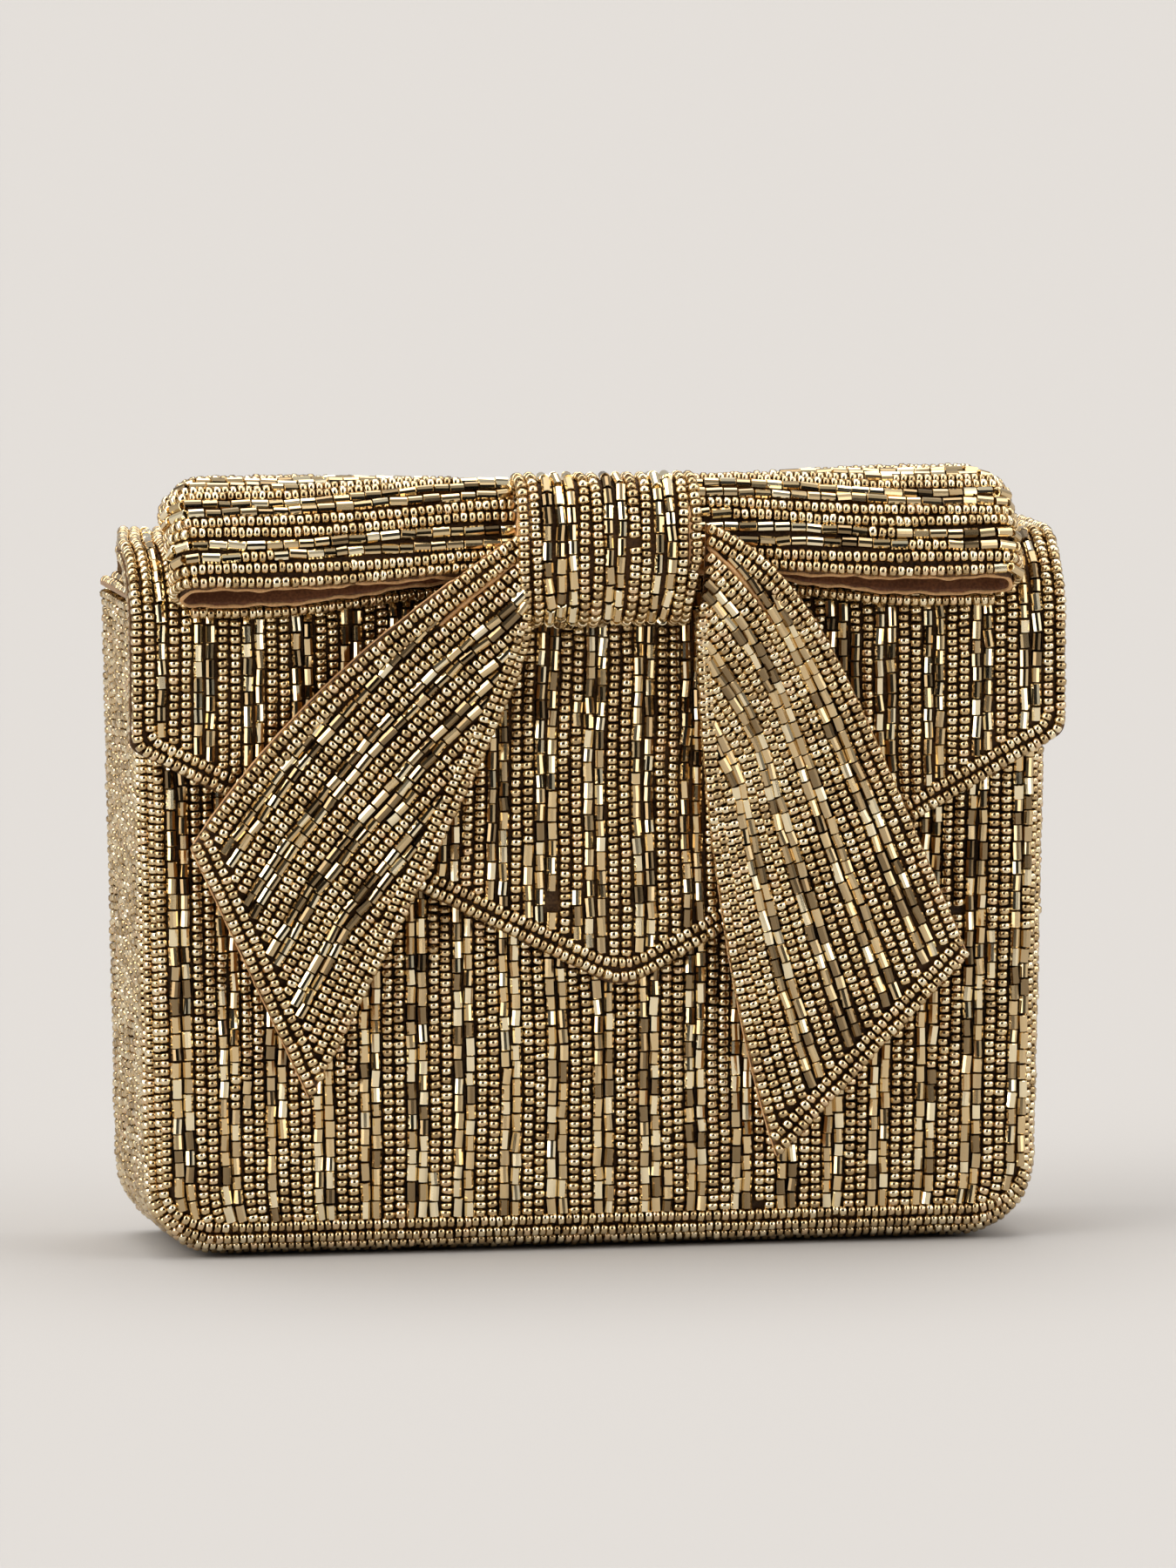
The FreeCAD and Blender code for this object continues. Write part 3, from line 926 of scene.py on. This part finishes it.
def knot_ribbon():
    """The band round the knot, from under its foot over the front and top to the back."""
    deep = (KNOT_BACK - KNOT_FRONT) / 2 - SEED_R
    tall = (KNOT_HIGH - KNOT_LOW) / 2 - SEED_R
    half = (KNOT_RIGHT - KNOT_LEFT) / 2
    lines = []
    for a in np.linspace(math.radians(-150), math.radians(205), 90):
        z = KNOT_Z + tall * math.sin(a)
        y = KNOT_Y - deep * math.copysign(abs(math.cos(a)) ** 0.85, math.cos(a))
        pull = 1.0 - 0.075 * smooth((KNOT_Z - z) / tall)
        across = np.linspace(-half, half, 32) * pull
        ripple = 0.30 * np.sin(across * 0.9 + 0.4) * smooth((KNOT_HIGH - z) / 20.0)
        lines.append(np.stack([KNOT_X + across, y + ripple, np.full(32, z)], axis=1))
    return Ribbon(np.array(lines))


def build_knot_beads():
    """The knot's band of beads."""
    ribbon = knot_ribbon()
    work = Beadwork()
    along = np.linspace(0.0, 1.0, 200)
    width = KNOT_RIGHT - KNOT_LEFT
    for j, place in enumerate(row_places(len(KNOT_ROWS), width, 0.0)):
        points, out = ribbon.at(along, place + 0.004 * np.sin(along * 15.0 + 2.3 * j))
        work.lay_mixed(points, out, KNOT_ROWS[j], share=0.04)
    bead_objects("knot", work, "flap", ["knot_beads"])


def build_knot_core():
    """The plump core of gathered ribbon inside the knot's band, painted dark as shade where the band covers
    it and satin-coloured at its ends.
    """
    deep = (KNOT_BACK - KNOT_FRONT) / 2 - 1.5 * SEED_R
    tall = (KNOT_HIGH - KNOT_LOW) / 2 - 1.5 * SEED_R
    width = KNOT_RIGHT - KNOT_LEFT
    a = np.linspace(0.0, 2 * math.pi, 61)
    lines = []
    for t in np.linspace(-1.0, 1.0, 41):
        swell = max(0.02, 1.0 - abs(t) ** 9) ** 0.5
        pucker = 1.0 + 0.05 * np.sin(11 * a) * abs(t) ** 6
        x = np.full(len(a), KNOT_X + t * (width / 2 - 0.4))
        y = KNOT_Y + deep * swell * np.cos(a) * pucker
        z = KNOT_Z + tall * swell * np.sin(a) * pucker
        lines.append(np.stack([x, y, z], axis=1))
    grid = np.array(lines)
    index = np.arange(grid.shape[0] * len(a)).reshape(grid.shape[0], len(a))
    core = mesh_object("knot_satin", grid.reshape(-1, 3), quads(index), [RIBBON_CLOTH_PAINTED_SHADE, RIBBON_SATIN])
    ends = np.abs(np.linspace(-1.0, 1.0, grid.shape[0] - 1)) > 0.9
    core.data.polygons.foreach_set("material_index", np.repeat(ends, grid.shape[1] - 1).astype(np.int32))
    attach(core, "flap")
    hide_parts("knot_fabric", "knot_core")


# ---- the bow's tails

LEFT_TAIL = {
    "outer": [(-16.7, 130.4), (-34.0, 120.0), (-60.0, 98.0), (-74.9, 74.6)],
    "inner": [(-15.3, 113.3), (-14.0, 104.0), (-32.0, 70.0), (-53.6, 29.2)],
    "rows": "SSBBSSBBSSBBSSBBSSSS",
}
RIGHT_TAIL = {
    "outer": [(17.5, 131.8), (36.0, 124.0), (46.0, 100.0), (66.5, 52.4)],
    "inner": [(16.0, 113.3), (18.0, 85.0), (22.0, 45.0), (31.6, 16.7)],
    "rows": "SSBBSSBBSSBBSSBBSSSS",
}
TAIL_HEIGHTS = [50.0, 78.0, 90.0, 100.0, 108.0, 114.0, 122.0, 132.0]
TAIL_DEPTHS = [-29.3, -29.5, -30.2, -31.6, -33.2, -34.8, -35.9, -34.6]


class Tail:
    """A ribbon end that narrows towards the knot, its rows running in under both edges."""

    def __init__(self, shape):
        self.rows = shape["rows"]
        self.along = np.linspace(0.0, 1.0, 240)
        self.outer = bezier(shape["outer"], self.along)
        self.inner = bezier(shape["inner"], self.along)
        self.reach = np.linalg.norm(self.inner - self.outer, axis=1)
        self.width = self.reach[-1]
        self.pitch = (self.width - 2 * TAIL_MARGIN) / TAIL_ROWS
        self.squeeze = np.maximum(self.reach / self.width, TAIL_TIGHTEST)
        self.hidden = self.width - self.reach / self.squeeze
        self.pleat = PLEAT_GAP * smooth(1.0 - self.along / 0.4)
        self.ribbon = Ribbon(np.array([self.line(i) for i in range(len(self.along))]))

    def line(self, i):
        """Points across the tail at one place along it, bulging where it is gathered."""
        place = np.linspace(0.0, 1.0, 60)
        point = self.outer[i] + (self.inner[i] - self.outer[i]) * place[:, None]
        bulge = TAIL_BULGE * (1.0 - self.reach[i] / self.width) * 4 * place * (1 - place)
        y = np.interp(point[:, 1], TAIL_HEIGHTS, TAIL_DEPTHS) - bulge
        return np.stack([point[:, 0], y, point[:, 1]], axis=1)

    def row(self, j):
        """Points and directions along a row, and where it isn't hidden under the rows at an edge."""
        from_edge = (TAIL_MARGIN + (min(j, TAIL_ROWS - 1 - j) + 0.5) * self.pitch) * self.squeeze
        if self.is_border(j):
            across = from_edge if j < TAIL_BORDER else self.reach - from_edge
            shown = from_edge > 0
            sink = np.zeros(len(across))
        else:
            across = (TAIL_MARGIN + (j + 0.5) * self.pitch - UNDER_OUTER * self.hidden) * self.squeeze
            across = across + (self.pleat if j >= PLEAT_AFTER else 0.0)
            rows_in = np.minimum(across, self.reach - across) / (self.pitch * self.squeeze)
            shown = rows_in > TAIL_BORDER - 0.3
            sink = TAIL_SINK * np.clip(TAIL_BORDER + 0.4 - rows_in, 0.0, 0.7)
        points, out = self.ribbon.at(self.along, across / self.reach)
        return points - sink[:, None] * out, out, shown

    def is_border(self, j):
        """Whether a row is one of those along the tail's two long edges."""
        return j < TAIL_BORDER or j >= TAIL_ROWS - TAIL_BORDER

    def pleat_line(self):
        """The middle of the fold that opens between two rows near the knot."""
        across = (TAIL_MARGIN + PLEAT_AFTER * self.pitch - UNDER_OUTER * self.hidden) * self.squeeze
        points, out = self.ribbon.at(self.along, (across + self.pleat / 2) / self.reach)
        return (points - 0.35 * out)[(self.pleat > 0.15) & (across > 0.6)]

    def cut_distance(self, points):
        """How far points lie from the slanted cut, seen from the front."""
        along = unit(self.inner[-1] - self.outer[-1])
        across = np.array([-along[1], along[0]])
        return np.abs((points[:, [0, 2]] - self.outer[-1]) @ across)

    def across_cut(self, inset, ends):
        """A line of points and directions beside the cut."""
        points = []
        out = []
        along = np.linspace(0.8, 1.0, 120)
        for place in np.linspace(ends, 1.0 - ends, 80):
            here, facing = self.ribbon.at(along, np.full(len(along), place))
            nearest = np.argmin(np.abs(self.cut_distance(here) - inset))
            points.append(here[nearest])
            out.append(facing[nearest])
        return np.array(points), np.array(out)

    def edge(self):
        """The satin's edge down one side, across the cut and up the other."""
        middle = self.ribbon.grid - self.ribbon.out * (SATIN_BEHIND + SATIN_THICK / 2)
        return np.concatenate([middle[6:, 0], middle[-1, 1:-1], middle[:5:-1, -1]])


def build_tail(side, shape):
    """One tail's rows of beads, its border, its satin and the satin's folded edge."""
    tail = Tail(shape)
    work = Beadwork()
    for j in range(TAIL_ROWS):
        points, out, use = tail.row(j)
        use &= tail.cut_distance(points) > CUT_CLEAR + chance.uniform(-0.2, 0.3)
        if tail.is_border(j):
            work.lay(points[use], out[use], "S")
        else:
            work.lay_mixed(points[use], out[use], tail.rows[j], share=FEW_SWAPS)
    for row in (0.5, 1.5):
        inset = TAIL_MARGIN + row * EDGE_ROW
        points, out = tail.across_cut(inset, TAIL_MARGIN / tail.width)
        work.lay(points, out, "S", missing=0.0)

    hinge_x = float(np.mean(tail.ribbon.grid[35, :, 0])) * MM
    bend = ("flap", f"{side}_tail", (hinge_x, -0.036, 0.119), (hinge_x, -0.033, 0.105))
    replaced = [f"{side}_tail_beads", f"{side}_tail_edging"]
    beads = bead_objects(f"{side}_tail", work, bend, replaced, TAIL_TUBE_SHARES)
    satin = tail.ribbon.satin(f"{side}_tail_satin", RIBBON_SATIN)
    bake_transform(satin)
    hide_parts(f"{side}_tail_lining")
    edge = hem(f"{side}_tail_hem", tail.edge(), 0.6 * HEM_R)
    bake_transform(edge)
    pleat = hem(f"{side}_tail_pleat", tail.pleat_line(), 1.3 * HEM_R)
    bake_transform(pleat)


# ---- carried-over pieces

FINISHES = {
    # The fabrics behind the beads take the cloths darkened with painted shade.
    "front_fabric": BACKING_WITH_PAINTED_SHADE,
    "back_fabric": BACKING_WITH_PAINTED_SHADE,
    "gusset_fabric": BACKING_WITH_PAINTED_SHADE,
    "flap_fabric": FLAP_CLOTH_WITH_PAINTED_SHADE,
    "snap_magnet": MAGNET,
}


def finish_frame_pieces():
    """Gives every CAD piece that stays in view its material."""
    for node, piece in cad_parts.items():
        if node in FINISHES:
            material = FINISHES[node]
        elif node.endswith("board"):
            material = CARD
        elif node.startswith("snap"):
            material = SNAP_METAL
        else:
            material = LINING_SATIN
        piece.data.materials.clear()
        piece.data.materials.append(material)


# ---- stage

FLOOR_COLOUR = (0.469, 0.453, 0.439)
FLOOR_MIRRORED_TO = 620.0
ROOM = 0.47
BELOW_LEVEL = 0.12
SOFTBOXES = [
    # azimuth, elevation, half angle of the bright part, half angle where it has faded out, strength
    (-62.0, 36.0, 20.0, 42.0, 2.2),
    (70.0, 34.0, 14.0, 36.0, 2.2),
    (175.0, 74.0, 14.0, 34.0, 3.1),
]
DARK_AZ = -9.0
DARK_EL = 8.0
DARK_INSIDE = 30.0
DARK_OUTSIDE = 50.0
DARK_LEVEL = 0.04
KEY_AZ = -78.0
KEY_EL = 40.0
KEY_POWER = 0.45
KEY_ANGLE = 30.0
STRIPS = [
    # azimuth, distance, width, height, brightness
    (-54.0, 480.0, 200.0, 460.0, 2.8),
    (30.0, 520.0, 130.0, 460.0, 2.3),
]
CAMERA_AZ = -11.0
CAMERA_EL = 6.0
CAMERA_AWAY = 2600.0
CAMERA_TARGET = (-1.4, -20.0, 83.8)
CAMERA_FIELD = 6.19
CAMERA_SENSOR = 36.0


def direction(azimuth, elevation):
    """Unit vector towards a place seen at that azimuth, 0 being straight in front, and elevation."""
    a = math.radians(azimuth)
    e = math.radians(elevation)
    return (math.sin(a) * math.cos(e), -math.cos(a) * math.cos(e), math.sin(e))


def round_patch(nodes, links, place, azimuth, elevation, inside, outside):
    """A node that gives 1 within an angle of a direction, fading to 0 at a wider angle."""
    dot = nodes.new("ShaderNodeVectorMath")
    dot.operation = "DOT_PRODUCT"
    dot.inputs[1].default_value = direction(azimuth, elevation)
    fade = nodes.new("ShaderNodeMapRange")
    fade.interpolation_type = "SMOOTHSTEP"
    fade.inputs["From Min"].default_value = math.cos(math.radians(outside))
    fade.inputs["From Max"].default_value = math.cos(math.radians(inside))
    links.new(place.outputs["Generated"], dot.inputs[0])
    links.new(dot.outputs["Value"], fade.inputs["Value"])
    return fade.outputs["Result"]


def build_world():
    """A pale room with broad softboxes, darker where the photographer stands and below the floor."""
    world = bpy.data.worlds.new("studio")
    world.use_nodes = True
    bpy.context.scene.world = world
    nodes = world.node_tree.nodes
    links = world.node_tree.links
    place = nodes.new("ShaderNodeTexCoord")
    level = ROOM
    for azimuth, elevation, inside, outside, strength in SOFTBOXES:
        patch = round_patch(nodes, links, place, azimuth, elevation, inside, outside)
        level = math_node(nodes, links, "MULTIPLY_ADD", patch, strength, level)
    dark = round_patch(nodes, links, place, DARK_AZ, DARK_EL, DARK_INSIDE, DARK_OUTSIDE)
    keep = math_node(nodes, links, "MULTIPLY_ADD", dark, DARK_LEVEL - 1.0, 1.0)
    split = nodes.new("ShaderNodeSeparateXYZ")
    links.new(place.outputs["Generated"], split.inputs["Vector"])
    below = nodes.new("ShaderNodeMapRange")
    below.inputs["From Min"].default_value = -0.05
    below.inputs["From Max"].default_value = 0.0
    below.inputs["To Min"].default_value = BELOW_LEVEL
    links.new(split.outputs["Z"], below.inputs["Value"])
    for factor in (keep, below.outputs["Result"]):
        level = math_node(nodes, links, "MULTIPLY", level, factor)
    links.new(level, nodes["Background"].inputs["Strength"])
    nodes["Background"].inputs["Color"].default_value = (1.0, 0.985, 0.965, 1.0)


def build_floor():
    """A pale floor, of which the beads mirror only the part near the bag."""
    paper = plain_material("floor_paper", FLOOR_COLOUR, 0.0, 1.0)
    paper.node_tree.nodes["Principled BSDF"].inputs["Specular IOR Level"].default_value = 0.0
    size = 120.0
    mirrored_y = size / 2 - FLOOR_MIRRORED_TO * MM
    for name, middle_y, z in (("floor", 0.0, -0.0004), ("floor_mirrored", mirrored_y, -0.0002)):
        bpy.ops.mesh.primitive_plane_add(size=size, location=(0, middle_y, z))
        floor = bpy.context.object
        floor.name = name
        mirrored = name == "floor_mirrored"
        floor.visible_glossy = mirrored
        floor.visible_camera = not mirrored
        floor.visible_diffuse = not mirrored
        floor.visible_shadow = not mirrored
        floor.data.materials.append(paper)


def build_strips():
    """Upright strip lights either side of the camera, which only the beads mirror."""
    for azimuth, distance, width, height, brightness in STRIPS:
        light = bpy.data.lights.new("strip", "AREA")
        light.shape = "RECTANGLE"
        light.size = width * MM
        light.size_y = height * MM
        light.energy = brightness * math.pi * light.size * light.size_y
        light.color = (1.0, 0.98, 0.95)
        lamp = bpy.data.objects.new("strip", light)
        lamp.visible_diffuse = False
        bpy.context.scene.collection.objects.link(lamp)
        away = Vector(direction(azimuth, 0.0))
        lamp.location = away * distance * MM + Vector((0.0, 0.0, height / 2 * MM))
        lamp.rotation_euler = away.to_track_quat("Z", "Y").to_euler()


def build_key():
    """A weak, wide sun from the left, which gives the soft shadow to the right."""
    light = bpy.data.lights.new("key", "SUN")
    light.energy = KEY_POWER
    light.angle = math.radians(KEY_ANGLE)
    light.color = (1.0, 0.97, 0.92)
    lamp = bpy.data.objects.new("key", light)
    bpy.context.scene.collection.objects.link(lamp)
    lamp.rotation_euler = Vector(direction(KEY_AZ, KEY_EL)).to_track_quat("Z", "Y").to_euler()


def build_camera():
    """The camera, at the viewing angle."""
    camera = bpy.data.cameras.new("camera")
    camera.sensor_fit = "VERTICAL"
    camera.sensor_height = CAMERA_SENSOR
    camera.lens = CAMERA_SENSOR / (2.0 * math.tan(math.radians(CAMERA_FIELD) / 2.0))
    camera.clip_end = 300.0
    eye = bpy.data.objects.new("camera", camera)
    bpy.context.scene.collection.objects.link(eye)
    back = Vector(direction(CAMERA_AZ, CAMERA_EL))
    eye.location = Vector(CAMERA_TARGET) * MM + back * CAMERA_AWAY * MM
    eye.rotation_euler = (-back).to_track_quat("-Z", "Y").to_euler()
    bpy.context.scene.camera = eye


# ---- assembly

finish_frame_pieces()
bead_objects("front", panel_rows(FRONT_TOP, True, 0.0), "bag", ["front_beads"])
bead_objects("back", panel_rows(BACK_TOP, False, 2.0), "bag", ["back_beads"])
gusset = gusset_rows()
for part, chosen in (
    ("left_gusset", lambda p: p[:, 0] < -SIDE_SPLIT),
    ("base_gusset", lambda p: np.abs(p[:, 0]) <= SIDE_SPLIT),
    ("right_gusset", lambda p: p[:, 0] > SIDE_SPLIT),
):
    bead_objects(part, gusset.part(chosen), "bag", [f"{part}_beads"])
flap_edge = flap_edge_rows()
bead_objects("flap", flap_field_rows(), "flap", ["flap_beads"])
bead_objects("flap_edge", flap_edge, "flap", ["flap_edge_beads"])
build_knot_beads()
build_knot_core()
build_loop("left", KNOT_LEFT + 0.8, LEFT_LOOP_END)
build_loop("right", KNOT_RIGHT - 0.8, RIGHT_LOOP_END)
build_tail("left", LEFT_TAIL)
build_tail("right", RIGHT_TAIL)
build_floor()
build_world()
build_strips()
build_key()
build_camera()
bpy.context.scene.view_settings.view_transform = "Standard"
